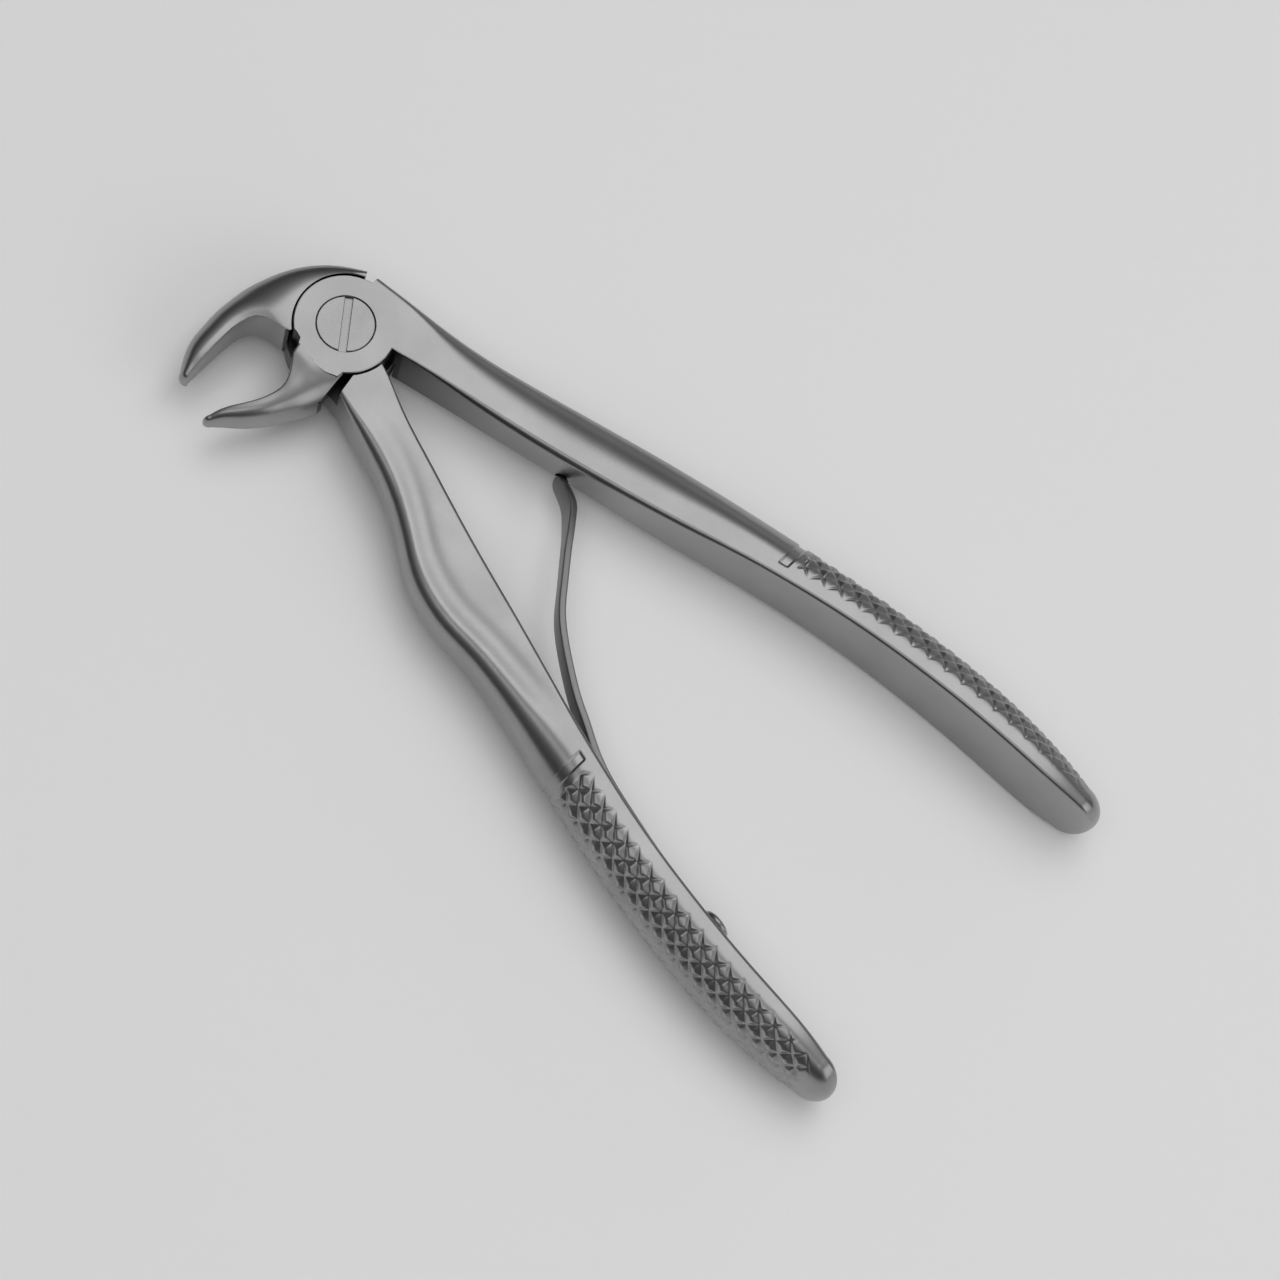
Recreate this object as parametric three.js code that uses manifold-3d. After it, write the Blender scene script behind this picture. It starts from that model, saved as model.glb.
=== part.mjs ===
// Child's extraction forceps with a return spring: two crossed levers on one slotted pivot screw.
// Units are millimetres. The pivot axis is Z through the origin, and z = 0 is the back face of the joint.
// The handles run along +X and the beaks bend round to -Y. Lever A carries the front disc of the lap
// joint, the +Y handle and the nearer beak. Lever B carries the back disc, the -Y handle and the far beak.

import * as THREE from "three";
import { mergeVertices } from "three/addons/utils/BufferGeometryUtils.js";
import Module from "manifold-3d";

const wasm = await Module();
wasm.setup();

// ---------- driving dimensions ----------

const JOINT_THICKNESS = 9.2; // both halves of the lap joint together
const MID_Z = JOINT_THICKNESS / 2;
const SHOULDER_HEIGHT = JOINT_THICKNESS - 0.1; // of the levers beside the joint, just under its faces
const LAP_GAP = 0.1; // running clearance between the two discs
const FRONT_DISC_RADIUS = 6.9;
const FRONT_SEAT_RADIUS = 7.15; // in lever B, round the front disc
const BACK_DISC_RADIUS = 7.6;
const BACK_SEAT_RADIUS = 7.8; // in lever A, round the back disc
const HANDLE_END_X = 112; // where the rounded end of each grip begins
const HANDLE_END_ROUND = 4;

const HEAD_RADIUS = 3.9; // slotted head of the pivot screw
const HEAD_HEIGHT = 1.8;
const SLOT_WIDTH = 1.05;
const SLOT_DEPTH = 0.6;
const SLOT_ANGLE_DEG = 129;
const SHANK_RADIUS = 2.6;
const THREAD_RADIUS = 2.4; // the threaded end is plain, at the size over its threads
const RUNNING_CLEARANCE = 0.08;

const LEAF_THICKNESS = 1.0; // the spring's leaf
const LEAF_SEAT_GAP = 0.1; // under the leaf, where it lies on the grip

const FIX_SCREW_X = 90; // the small screw that holds the leaf
const FIX_HEAD_RADIUS = 2.1;
const FIX_HEAD_HEIGHT = 1.1;
const FIX_SHANK_RADIUS = 1.0;
const FIX_DEPTH = 4.2;
const FIX_SLOT_WIDTH = 0.6;
const FIX_SLOT_DEPTH = 0.5;

const TIP_SOCKET_RADIUS = 1.0; // the blind hole in lever A that the spring's tip sits in
const TIP_SOCKET_DEPTH = 2.2;

const STEPS_PER_RIB = 3; // lofted sections between two design ribs
const ROUND_STEPS = 48; // segments in a turned circle
const SMALL_ROUND_STEPS = 24; // and in a small one

// ---------- ribs: the design sections of a lever ----------
// A rib is a rounded rectangle that stands on the line from an inner point to an outer point.
// tall is its size along Z, inR the radius of its two inner corners, outW and outH the reach of its
// two outer corners along the line and along Z, and hollow the dish in its inner face.

const rib = (inner, outer, tall, inR, outW, outH, hollow = 0) => [
  ...inner, ...outer, tall, inR, outW, outH, hollow,
];

// The grip is the same on both levers: side is +1 for lever A and -1 for lever B.
const gripRibs = (side) => [
  rib([60, 16.3 * side], [60, 23.5 * side], 11.2, 0.5, 4.4, 4.6),
  rib([72, 19.3 * side], [72, 26.3 * side], 12.4, 0.5, 4.9, 6.1),
  rib([84, 21.4 * side], [84, 28.3 * side], 13.3, 0.5, 5.0, 6.6),
  rib([96, 22.7 * side], [96, 29.4 * side], 14.0, 0.5, 4.9, 6.9),
  rib([106, 23.3 * side], [106, 29.2 * side], 14.0, 0.5, 4.4, 6.9),
  rib([HANDLE_END_X, 23.9 * side], [HANDLE_END_X, 28.4 * side], 12.6, 0.7, 3.4, 6.2),
];

const handleRibsA = [
  rib([-1.8, 1.0], [-1.8, 7.8], SHOULDER_HEIGHT, 0.3, 0.6, 0.6),
  rib([4, 1.5], [4, 8.7], SHOULDER_HEIGHT, 0.3, 0.8, 0.8),
  rib([9, 2.7], [9, 9.5], SHOULDER_HEIGHT, 0.3, 1.8, 1.2),
  rib([14, 3.9], [14, 10.6], 9.0, 0.5, 3.2, 1.7),
  rib([20, 5.2], [20, 12.4], 8.3, 0.8, 4.4, 2.2),
  rib([28, 7.1], [28, 15.0], 7.8, 1.0, 5.6, 2.6),
  rib([36, 9.2], [36, 17.4], 8.1, 1.0, 5.7, 2.8),
  rib([44, 11.4], [44, 19.6], 9.0, 0.9, 5.3, 3.1),
  rib([52, 13.8], [52, 21.6], 10.1, 0.8, 4.6, 3.7),
  ...gripRibs(1),
];

// Lever B's shaft swells outwards where the thumb rests.
const handleRibsB = [
  rib([4.9, 0.2], [6.5, -7.4], SHOULDER_HEIGHT, 0.3, 0.6, 0.6),
  rib([8.6, -0.7], [9.2, -8.3], SHOULDER_HEIGHT, 0.3, 1.0, 1.0),
  rib([14, -2.8], [13.6, -9.7], 9.0, 0.4, 1.8, 1.8),
  rib([20, -4.6], [19.6, -11.8], 8.3, 0.5, 2.2, 2.2),
  rib([26, -6.4], [25.4, -14.9], 7.9, 0.5, 2.3, 2.3),
  rib([32, -8.2], [31.0, -18.1], 7.9, 0.5, 2.3, 2.3),
  rib([38, -9.9], [37.6, -19.8], 8.2, 0.5, 2.4, 2.4),
  rib([44, -11.6], [44, -20.2], 9.0, 0.5, 2.6, 2.6),
  rib([52, -14.0], [52, -21.5], 10.1, 0.5, 3.2, 3.2),
  ...gripRibs(-1),
];

const beakRibsA = [
  rib([-2.1, -4.0], [5.4, -3.2], 9.0, 0.3, 0.5, 0.5),
  rib([-2.05, -6.7], [5.6, -5.8], 9.0, 0.3, 4.6, 1.4),
  rib([-1.75, -7.9], [5.75, -7.6], 8.6, 0.3, 4.6, 2.5),
  rib([-0.9, -9.0], [5.4, -9.5], 8.1, 0.4, 4.2, 3.2),
  rib([0.2, -10.9], [4.65, -11.7], 7.6, 0.45, 3.5, 3.4, 0.2),
  rib([0.3, -12.9], [3.45, -13.95], 7.0, 0.45, 2.7, 3.2, 0.3),
  rib([-0.5, -15.3], [2.1, -16.3], 6.4, 0.45, 2.1, 2.9, 0.4),
  rib([-1.8, -17.6], [0.4, -18.5], 5.7, 0.4, 1.8, 2.6, 0.4),
  rib([-2.9, -19.5], [-1.2, -20.1], 4.8, 0.35, 1.3, 2.1, 0.3),
  rib([-3.5, -21.2], [-2.5, -21.5], 3.2, 0.25, 0.7, 1.3, 0.1),
];

const beakRibsB = [
  rib([-1.6, 3.6], [-3.5, 7.4], SHOULDER_HEIGHT, 0.3, 0.5, 0.5),
  rib([-3.6, 2.6], [-7.2, 5.1], SHOULDER_HEIGHT, 0.3, 2.2, 1.6),
  rib([-4.1, 0.6], [-10.2, 1.8], 8.8, 0.3, 3.4, 2.2),
  rib([-4.1, -2.2], [-12.0, -1.6], 8.5, 0.3, 4.6, 2.8),
  rib([-4.0, -5.6], [-12.9, -4.4], 8.3, 0.3, 5.4, 3.1),
  rib([-6.4, -6.5], [-13.25, -6.0], 8.0, 0.3, 4.8, 3.3, 0.1),
  rib([-8.4, -7.35], [-13.4, -7.6], 7.6, 0.3, 3.9, 3.3, 0.2),
  rib([-9.4, -8.8], [-13.5, -9.3], 7.1, 0.3, 3.3, 3.2, 0.3),
  rib([-9.75, -10.6], [-13.45, -11.1], 6.7, 0.3, 2.9, 3.1, 0.3),
  rib([-9.75, -12.8], [-13.2, -13.2], 6.35, 0.3, 2.7, 3.0, 0.4),
  rib([-9.6, -15.3], [-12.7, -15.8], 5.9, 0.3, 2.4, 2.7, 0.4),
  rib([-9.4, -17.6], [-11.6, -18.1], 5.2, 0.3, 1.7, 2.4, 0.3),
  rib([-9.2, -19.3], [-10.5, -19.7], 4.0, 0.3, 1.0, 1.8, 0.1),
];
const BEAK_TIP_ROUND = 1;

// The leaf's rows: x, y and z of the middle, width, and lean in degrees of the strip from upright. It lies
// along lever B's grip, leaves it in a shallow S, narrows and leans over, and ends at lever A's socket.
const leafRows = [
  [94, -21.9, MID_Z, 5.0, 0], [90, -21.5, MID_Z, 5.0, 0], [84, -20.8, MID_Z, 5.0, 0],
  [78, -19.9, MID_Z, 5.0, 0], [72, -18.7, MID_Z, 5.0, 0], [67, -17.5, MID_Z, 5.0, 0],
  [63, -16.0, MID_Z, 5.0, 0], [59.5, -14.2, MID_Z, 5.0, 0], [55.8, -12.3, MID_Z, 5.0, 0],
  [50.16, -8.6, MID_Z, 5.0, 0], [46.83, -5.75, MID_Z, 4.9, 0], [44.53, -2.99, 4.5, 4.6, 0],
  [41.65, 0.57, 4.2, 4.1, 2], [40.0, 2.7, 3.9, 3.8, 5], [38.5, 4.5, 3.5, 3.4, 12],
  [37.3, 5.8, 3.1, 3.1, 20], [36.0, 6.65, 2.8, 2.8, 27], [34.7, 7.25, 2.4, 2.4, 28],
  [33.7, 7.8, 2.2, 1.8, 28], [33.2, 8.3, 2.15, 1.2, 28],
];

// ---------- curves and lofts ----------

// A natural cubic spline through equally spaced values: returns the value at any parameter u.
function cubicThrough(values) {
  const last = values.length - 1;
  const bend = new Array(last + 1).fill(0);
  const diagonal = new Array(last + 1).fill(4);
  const load = values.map((v, i) => (i && i < last ? 6 * (values[i - 1] - 2 * v + values[i + 1]) : 0));
  for (let i = 2; i < last; i++) {
    diagonal[i] -= 1 / diagonal[i - 1];
    load[i] -= load[i - 1] / diagonal[i - 1];
  }
  for (let i = last - 1; i > 0; i--) bend[i] = (load[i] - bend[i + 1]) / diagonal[i];
  return (u) => {
    const i = Math.min(Math.floor(u), last - 1);
    const t = u - i;
    const s = 1 - t;
    const line = s * values[i] + t * values[i + 1];
    return line + ((s ** 3 - s) * bend[i] + (t ** 3 - t) * bend[i + 1]) / 6;
  };
}

// Sections between the design ribs, with every number of a rib on its own spline.
function refine(ribs, steps) {
  const splines = ribs[0].map((_, k) => cubicThrough(ribs.map((r) => r[k])));
  const count = (ribs.length - 1) * steps;
  return Array.from({ length: count + 1 }, (_, i) => splines.map((f) => f(i / steps)));
}

const CORNER_STEPS = 2;
const FLAT_STEPS = 2;

// The closed loop of a rib, as points in the plane of its line and Z, centred on MID_Z.
function loopOf([ix, iy, ox, oy, tall, inR, outW, outH, hollow]) {
  const along = new THREE.Vector2(ox - ix, oy - iy);
  const wide = along.length();
  along.normalize();
  const half = tall / 2;
  const quarter = [];
  for (let i = 0; i < FLAT_STEPS; i++) quarter.push([0, ((half - inR) * i) / FLAT_STEPS]);
  for (let i = 0; i <= CORNER_STEPS; i++) {
    const a = ((Math.PI / 2) * i) / CORNER_STEPS;
    quarter.push([inR * (1 - Math.cos(a)), half - inR * (1 - Math.sin(a))]);
  }
  for (let i = 0; i <= 2 * CORNER_STEPS; i++) {
    const a = ((Math.PI / 2) * i) / (2 * CORNER_STEPS);
    quarter.push([wide - outW * (1 - Math.sin(a)), half - outH * (1 - Math.cos(a))]);
  }
  quarter.push([wide, 0]);
  const below = quarter.slice(1, -1).map(([u, v]) => [u, -v]).reverse();
  return [...quarter, ...below].map(([u, v]) => {
    const dish = u < wide / 2 ? hollow * Math.max(0, 1 - (v / half) ** 2) * (1 - (2 * u) / wide) : 0;
    return new THREE.Vector3(ix + along.x * (u + dish), iy + along.y * (u + dish), MID_Z + v);
  });
}

// Extra loops that round off the end of a loft, shrinking towards the middle of its last loop.
function roundedEnd(loops, reach) {
  const end = loops[loops.length - 1];
  const before = centreOf(loops[loops.length - 2]);
  const centre = centreOf(end);
  const ahead = centre.clone().sub(before).normalize();
  return [20, 38, 54, 68, 80].map((degrees) => {
    const a = THREE.MathUtils.degToRad(degrees);
    const shift = ahead.clone().multiplyScalar(reach * Math.sin(a));
    return end.map((p) => p.clone().lerp(centre, 1 - Math.cos(a)).add(shift));
  });
}

function centreOf(loop) {
  const sum = loop.reduce((s, p) => s.add(p), new THREE.Vector3());
  return sum.multiplyScalar(1 / loop.length);
}

// A closed geometry over loops of equal length, with a fan at each end.
function loftGeometry(loops) {
  const around = loops[0].length;
  const points = [...loops.flat(), centreOf(loops[0]), centreOf(loops[loops.length - 1])];
  const index = [];
  for (let i = 0; i < loops.length - 1; i++) {
    for (let j = 0; j < around; j++) {
      const a = i * around + j;
      const b = i * around + ((j + 1) % around);
      index.push(a, b, b + around, a, b + around, a + around);
    }
  }
  const top = (loops.length - 1) * around;
  for (let j = 0; j < around; j++) {
    const next = (j + 1) % around;
    index.push(points.length - 2, next, j, points.length - 1, top + j, top + next);
  }
  return new THREE.BufferGeometry().setFromPoints(points).setIndex(index);
}

// ---------- solids ----------

function solidOf(geometry) {
  const bare = geometry.clone();
  bare.deleteAttribute("normal");
  bare.deleteAttribute("uv");
  const merged = mergeVertices(bare, 1e-4);
  const solid = new wasm.Manifold(new wasm.Mesh({
    numProp: 3,
    vertProperties: new Float32Array(merged.attributes.position.array),
    triVerts: new Uint32Array(merged.index.array),
  }));
  if (solid.volume() > 0) return solid;
  const flipped = merged.index.array.slice().reverse();
  return new wasm.Manifold(new wasm.Mesh({
    numProp: 3,
    vertProperties: new Float32Array(merged.attributes.position.array),
    triVerts: new Uint32Array(flipped),
  }));
}

function geometryOf(solid) {
  const mesh = solid.getMesh();
  const geometry = new THREE.BufferGeometry();
  geometry.setAttribute("position", new THREE.BufferAttribute(new Float32Array(mesh.vertProperties), 3));
  geometry.setIndex(new THREE.BufferAttribute(new Uint32Array(mesh.triVerts), 1));
  geometry.computeVertexNormals();
  return geometry;
}

// A round bar along Z from low to high.
function roundBar(radius, low, high) {
  const geometry = new THREE.CylinderGeometry(radius, radius, high - low, ROUND_STEPS);
  return solidOf(geometry.rotateX(Math.PI / 2).translate(0, 0, (low + high) / 2));
}

function bar(ribs, endRound) {
  const loops = refine(ribs, STEPS_PER_RIB).map(loopOf);
  return solidOf(loftGeometry([...loops, ...roundedEnd(loops, endRound)]));
}

// A flat plate with the given outline between two heights.
function plate(outline, low, high) {
  const shape = new THREE.Shape(outline.map(([x, y]) => new THREE.Vector2(x, y)));
  const geometry = new THREE.ExtrudeGeometry(shape, { depth: high - low, bevelEnabled: false });
  return solidOf(geometry.translate(0, 0, low));
}

// A cutter for a hole drilled into an inner face: a bar from point p along direction d.
function drill(p, d, radius, depth) {
  const over = 1.5; // starts outside the face
  const geometry = new THREE.CylinderGeometry(radius, radius, depth + over, SMALL_ROUND_STEPS);
  geometry.translate(0, (depth - over) / 2, 0);
  const turn = new THREE.Quaternion().setFromUnitVectors(new THREE.Vector3(0, 1, 0), d);
  return solidOf(geometry.applyQuaternion(turn).translate(p.x, p.y, p.z));
}

// ---------- the two levers ----------

const ABOVE = JOINT_THICKNESS + 1;
const BELOW = -1;

// The web that ties lever B's back disc to its shaft, and the room cut for it in the root of beak A.
const webOutline = [[2.2, -6.3], [3.7, -7.15], [6.5, -7.4], [6.2, -2.0]];
const webClearance = [[0.6, -6.9], [2.1, -7.95], [5.2, -8.8], [8.0, -8.8], [8.0, -2.0], [2.0, -2.0]];

// The end face of beak A's root, which faces lever B's shoulder, and the ledge of the disc above it.
const beakEnd = [[4.45, -2.5], [4.7, -4.9], [5.0, -8.9], [5.15, -9.9], [9.0, -12.0], [9.0, -2.5]];
const frontLedge = [[4.6, -4.9], [4.5, -5.95], [3.0, -6.68], [1.2, -6.95], [0.3, -6.5], [0.3, -4.0]];

// The notch in the front disc, and the facet on the root of lever B's beak, that face each other.
const frontNotch = [[-4.6, -5.5], [-3.6, -5.5], [-2.6, -5.75], [-2.3, -6.3], [-2.2, -7.2], [-4.6, -7.2]];
const rootFacet = [[-3.9, -5.2], [-4.15, -5.4], [-4.55, -6.3], [-4.4, -7.6], [-2.0, -7.6], [-2.0, -5.2]];

// Where the leaf's fixing screw goes into the grip of lever B.
const fixFace = new THREE.Vector3(FIX_SCREW_X, -22.12, MID_Z);
const fixInto = new THREE.Vector3(-0.11, -1, 0).normalize();

// Where the leaf's tip sits in lever A, low on its inner face.
const socketMouth = new THREE.Vector3(33.4, 8.5, 2.15);
const socketInto = new THREE.Vector3(-0.26, 1, 0).normalize();

const LOW_HALF = MID_Z + LAP_GAP / 2; // where lever A's half of the joint begins
const HIGH_HALF = MID_Z - LAP_GAP / 2; // where lever B's half ends

function leverA() {
  return bar(handleRibsA, HANDLE_END_ROUND)
    .add(bar(beakRibsA, BEAK_TIP_ROUND).subtract(plate(beakEnd, BELOW, ABOVE)))
    .add(roundBar(FRONT_DISC_RADIUS, 2, JOINT_THICKNESS))
    .add(plate(frontLedge, LOW_HALF, SHOULDER_HEIGHT))
    .subtract(plate(webClearance, BELOW, LOW_HALF))
    .subtract(plate(frontNotch, MID_Z - 0.5, ABOVE))
    .subtract(roundBar(BACK_SEAT_RADIUS, BELOW, LOW_HALF))
    .subtract(roundBar(HEAD_RADIUS + RUNNING_CLEARANCE, JOINT_THICKNESS - HEAD_HEIGHT - 0.05, ABOVE))
    .subtract(roundBar(SHANK_RADIUS + RUNNING_CLEARANCE, BELOW, ABOVE))
    .subtract(drill(socketMouth, socketInto, TIP_SOCKET_RADIUS, TIP_SOCKET_DEPTH));
}

function leverB() {
  return bar(handleRibsB, HANDLE_END_ROUND)
    .add(bar(beakRibsB, BEAK_TIP_ROUND))
    .subtract(plate(rootFacet, BELOW, ABOVE))
    .add(roundBar(BACK_DISC_RADIUS, 0, HIGH_HALF))
    .add(plate(webOutline, 0, HIGH_HALF))
    .subtract(roundBar(FRONT_SEAT_RADIUS, HIGH_HALF, ABOVE))
    .subtract(roundBar(THREAD_RADIUS + RUNNING_CLEARANCE, BELOW, ABOVE))
    .subtract(drill(fixFace, fixInto, FIX_SHANK_RADIUS + RUNNING_CLEARANCE, FIX_DEPTH + 0.3));
}

// ---------- screws and spring ----------

// A turned profile in [radius, height] pairs, closed on the axis.
function turned(profile, steps) {
  const points = profile.map(([r, h]) => new THREE.Vector2(r, h));
  return solidOf(new THREE.LatheGeometry(points, steps).rotateX(Math.PI / 2));
}

function slotCutter(width, depth, topZ, radius) {
  const length = 2 * radius + 2;
  return solidOf(new THREE.BoxGeometry(length, width, 2 * depth).translate(0, 0, topZ));
}

function pivotScrew() {
  const headBase = JOINT_THICKNESS - HEAD_HEIGHT;
  const profile = [
    [0, 0], [THREAD_RADIUS - 0.2, 0], [THREAD_RADIUS, 0.2], [THREAD_RADIUS, MID_Z],
    [SHANK_RADIUS, MID_Z + LAP_GAP], [SHANK_RADIUS, headBase],
    [HEAD_RADIUS, headBase], [HEAD_RADIUS, JOINT_THICKNESS - 0.12], [HEAD_RADIUS - 0.12, JOINT_THICKNESS],
    [0, JOINT_THICKNESS],
  ];
  const slot = slotCutter(SLOT_WIDTH, SLOT_DEPTH, JOINT_THICKNESS, HEAD_RADIUS);
  return turned(profile, ROUND_STEPS).subtract(slot.rotate([0, 0, SLOT_ANGLE_DEG]));
}

// The fixing screw stands on +Z here, with z = 0 under its head, and is turned into place by its mesh.
function fixingScrew() {
  const profile = [
    [0, -FIX_DEPTH], [FIX_SHANK_RADIUS - 0.3, -FIX_DEPTH], [FIX_SHANK_RADIUS, -FIX_DEPTH + 0.4],
    [FIX_SHANK_RADIUS, 0], [FIX_HEAD_RADIUS, 0], [FIX_HEAD_RADIUS, 0.45],
  ];
  for (const degrees of [25, 50, 72]) {
    const a = THREE.MathUtils.degToRad(degrees);
    profile.push([FIX_HEAD_RADIUS * Math.cos(a), 0.45 + (FIX_HEAD_HEIGHT - 0.45) * Math.sin(a)]);
  }
  profile.push([0, FIX_HEAD_HEIGHT]);
  const slot = slotCutter(FIX_SLOT_WIDTH, FIX_SLOT_DEPTH, FIX_HEAD_HEIGHT, FIX_HEAD_RADIUS);
  return turned(profile, SMALL_ROUND_STEPS).subtract(slot);
}

// The leaf is a strip that stands on edge along its rows.
function springLeaf() {
  const rows = refine(leafRows, STEPS_PER_RIB);
  const loops = rows.map(([x, y, z, width, lean], i) => {
    const before = rows[Math.max(i - 1, 0)];
    const after = rows[Math.min(i + 1, rows.length - 1)];
    const across = new THREE.Vector3(before[1] - after[1], after[0] - before[0], 0).normalize();
    const turn = THREE.MathUtils.degToRad(lean);
    const side = new THREE.Vector3(0, 0, Math.sin(turn)).addScaledVector(across, Math.cos(turn));
    const rise = new THREE.Vector3(0, 0, Math.cos(turn)).addScaledVector(across, -Math.sin(turn));
    return [[1, 1], [1, -1], [-1, -1], [-1, 1]].map(([s, t]) => new THREE.Vector3(x, y, z)
      .addScaledVector(side, (s * LEAF_THICKNESS) / 2)
      .addScaledVector(rise, (t * width) / 2));
  });
  const hole = drill(fixFace, fixInto, FIX_SHANK_RADIUS + RUNNING_CLEARANCE, 2);
  return solidOf(loftGeometry(loops)).subtract(hole);
}

// ---------- the assembly ----------

const steel = (color, roughness) => new THREE.MeshStandardMaterial({ color, roughness, metalness: 1 });
const forgedSteel = steel(0xa3a3a3, 0.38);
const screwSteel = steel(0xb0b0b0, 0.3);
const springSteel = steel(0x9a9a9a, 0.32);

const forceps = new THREE.Group();

function place(name, solid, material) {
  const mesh = new THREE.Mesh(geometryOf(solid), material);
  mesh.name = name;
  forceps.add(mesh);
  return mesh;
}

place("lever_front_disc", leverA(), forgedSteel);
place("lever_back_disc", leverB(), forgedSteel);
place("pivot_screw", pivotScrew(), screwSteel);
place("return_spring", springLeaf(), springSteel);

const fixing = place("spring_fixing_screw", fixingScrew(), screwSteel);
const headLift = LEAF_SEAT_GAP + LEAF_THICKNESS + 0.1;
fixing.quaternion.setFromUnitVectors(new THREE.Vector3(0, 0, 1), fixInto.clone().negate());
fixing.position.copy(fixFace).addScaledVector(fixInto, -headLift);

export default forceps;
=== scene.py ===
"""Child's extraction forceps with a leaf return spring: the detailed pieces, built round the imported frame.

The design is in millimetres, as in the part's source, and becomes metres where a mesh is made.
A lever is a loft of ribs (design sections) joined to its half of the lap joint and then cut.
"""

import math

import bpy
import numpy as np
from mathutils import Matrix, Vector


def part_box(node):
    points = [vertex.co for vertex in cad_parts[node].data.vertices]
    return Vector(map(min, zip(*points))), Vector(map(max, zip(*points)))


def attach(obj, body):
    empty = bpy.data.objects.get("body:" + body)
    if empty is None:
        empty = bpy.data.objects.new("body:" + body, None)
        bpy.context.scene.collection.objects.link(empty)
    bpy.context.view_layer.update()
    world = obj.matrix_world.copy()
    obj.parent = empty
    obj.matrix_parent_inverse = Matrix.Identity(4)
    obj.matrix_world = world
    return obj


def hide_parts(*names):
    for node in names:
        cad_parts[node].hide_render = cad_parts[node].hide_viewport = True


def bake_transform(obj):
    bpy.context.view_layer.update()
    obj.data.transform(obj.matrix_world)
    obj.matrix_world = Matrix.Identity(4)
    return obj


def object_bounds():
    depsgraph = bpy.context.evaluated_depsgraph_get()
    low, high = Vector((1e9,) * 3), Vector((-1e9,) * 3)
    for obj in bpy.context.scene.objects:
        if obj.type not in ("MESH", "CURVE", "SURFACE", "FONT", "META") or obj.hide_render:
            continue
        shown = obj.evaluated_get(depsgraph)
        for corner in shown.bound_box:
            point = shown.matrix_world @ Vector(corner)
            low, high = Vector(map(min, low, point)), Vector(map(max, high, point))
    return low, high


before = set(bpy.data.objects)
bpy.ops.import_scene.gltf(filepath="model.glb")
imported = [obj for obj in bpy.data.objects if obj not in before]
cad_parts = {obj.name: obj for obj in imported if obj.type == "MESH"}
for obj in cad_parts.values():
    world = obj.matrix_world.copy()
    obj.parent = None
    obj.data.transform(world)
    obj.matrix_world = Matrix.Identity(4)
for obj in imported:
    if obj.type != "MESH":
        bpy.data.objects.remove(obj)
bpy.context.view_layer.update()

MM = 0.001
A, B = "front_lever", "back_lever"  # the two bodies

# ---------- driving dimensions, in millimetres ----------

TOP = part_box("pivot_screw")[1][2] / MM  # front face of the joint
MID_Z = TOP / 2
HEAD_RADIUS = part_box("pivot_screw")[1][0] / MM
HEAD_HEIGHT = 1.8
SCREW_GAP = 0.08  # round both screws in their holes
HEAD_SEAT_GAP = 0.05  # under the pivot screw's head
HEAD_CHAMFER = 0.06
SHANK_RADIUS = 2.6
THREAD_RADIUS = 2.4
SLOT_WIDTH, SLOT_DEPTH, SLOT_ANGLE = 1.05, 0.6, math.radians(129)

LAP_GAP = 0.1  # between the two halves of the joint
FRONT_DISC_RADIUS = 6.9
FRONT_SEAT_RADIUS = 7.15  # in lever B, round the front disc
BACK_DISC_RADIUS = 7.6
BACK_SEAT_RADIUS = 7.8  # in lever A, round the back disc
EDGE = 0.12  # chamfer on machined edges

FLUTE_WIDTH = 3.0  # of the hollow beside the outer corner
GRIP_START = 64.3  # where the knurl begins along X
GRIP_END = 112.0
KNURL_FADE = (0.3, 1.5)  # length over which it starts and ends
KNURL_PITCH = 2.71  # along the handle
KNURL_ANGLE = math.radians(48)  # of the grooves to the handle
KNURL_BORDER = 1.5  # smooth band beside the inner edge
KNURL_RUNOUT = 2.6  # length over which a groove comes to its point
KNURL_HALF_WIDTH = (0.8, 0.6)  # of the two families of grooves
KNURL_DEPTH = 0.42
CHANNEL = (62.2, 63.6)  # shallow milled channel ahead of the knurl
CHANNEL_DEPTH = 0.25
CHANNEL_WALL = (0.12, 0.2)  # run of its walls along and across the handle

LEAF_THICKNESS = 1.0
LEAF_SEAT_GAP = 0.1  # under the leaf, and between it and its screw's head
LEAF_EDGE_RADIUS = 0.25
LEAF_END_ROUND = 1.3
SOCKET_RADIUS, SOCKET_DEPTH = 1.0, 2.2  # the hole in lever A for the leaf's tip

FIX_HEAD_RADIUS, FIX_HEAD_HEIGHT, FIX_RIM = 2.1, 1.1, 0.45
FIX_SHANK_RADIUS, FIX_DEPTH, FIX_HOLE_DEPTH = 1.0, 4.2, 4.5
FIX_SLOT_WIDTH, FIX_SLOT_DEPTH, FIX_SLOT_REACH = 0.6, 0.5, 3  # the slot's cutter passes the head's rim

# ---------- ribs ----------
# A rib is a rounded rectangle that stands on the line from its inner point to its outer point.


def rib(inner, outer, tall, in_r, out_w, out_h, hollow=0.0, flute=0.0):
    """in_r is the radius of the inner corners, out_w and out_h the reach of the outer ones along and up."""
    return [*inner, *outer, tall, in_r, out_w, out_h, hollow, flute]


def grip_ribs(side):
    return [
        rib((60, 16.3 * side), (60, 23.5 * side), 11.2, 0.6, 4.4, 4.6),
        rib((72, 19.3 * side), (72, 26.3 * side), 12.4, 0.6, 4.9, 6.1),
        rib((84, 21.4 * side), (84, 28.3 * side), 13.3, 0.6, 5.0, 6.6),
        rib((96, 22.7 * side), (96, 29.4 * side), 14.0, 0.6, 4.9, 6.9),
        rib((106, 23.3 * side), (106, 29.2 * side), 14.0, 0.6, 4.4, 6.9),
        rib((112, 23.9 * side), (112, 28.4 * side), 12.6, 0.7, 3.4, 6.2),
    ]


HANDLE_END_ROUND = 4.0

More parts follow.
